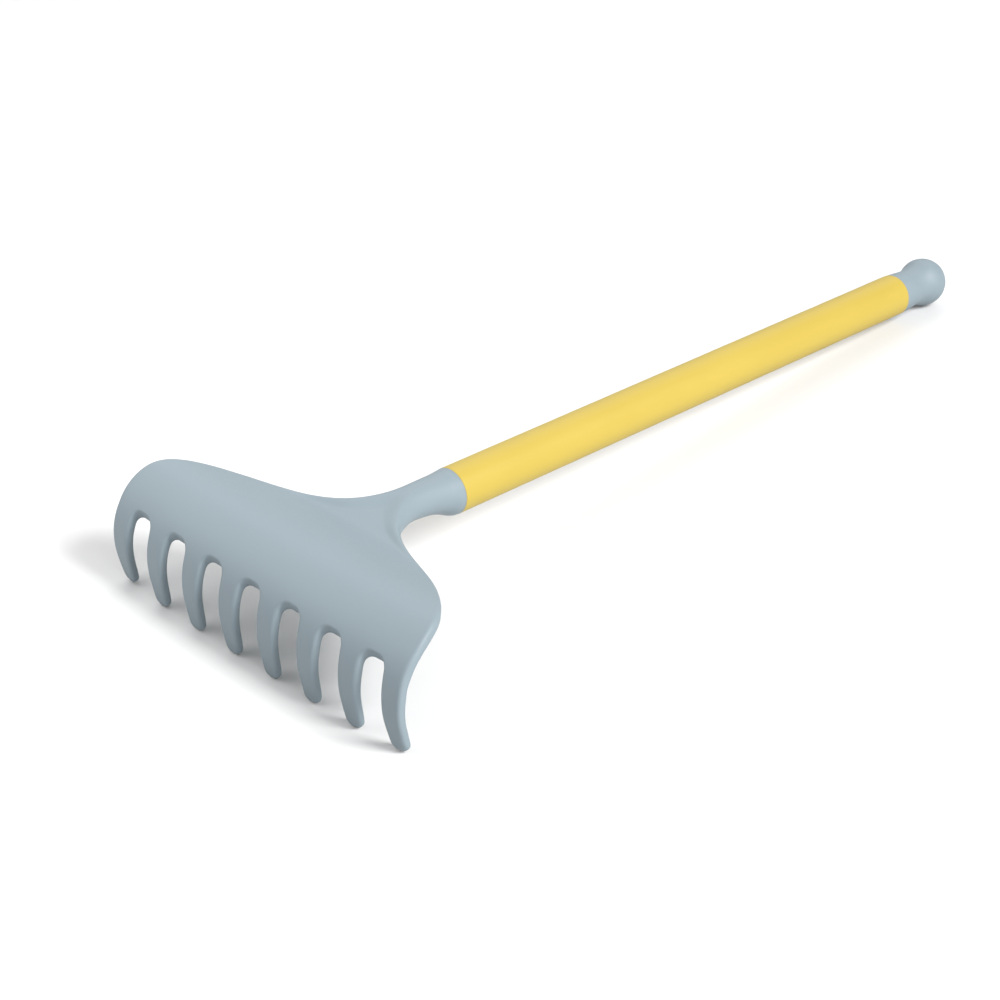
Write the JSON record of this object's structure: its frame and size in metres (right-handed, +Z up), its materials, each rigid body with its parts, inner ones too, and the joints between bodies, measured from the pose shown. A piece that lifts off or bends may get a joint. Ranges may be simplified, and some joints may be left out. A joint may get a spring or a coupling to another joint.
{
  "type": "sand rake",
  "caption": "Child's rake for sand: a bowed plastic head with curved tines on a straight tubular handle, closed by a ball that is gripped or rests on the ground.",
  "frame": {"origin": "on the ground, under the middle of the rake as it lies on its tine tips and its ball", "axes": "+Y along the ground from the head to the ball, +X across the head, +Z up"},
  "size_m": [0.1852, 0.4944, 0.0548],
  "materials": {
    "grey_blue_plastic": "moulded, matte",
    "yellow_plastic": "drawn tube, matte"
  },
  "bodies": {
    "root": {"rake_head": "grey_blue_plastic", "handle_tube": "yellow_plastic", "end_knob": "grey_blue_plastic"}
  },
  "joints": []
}
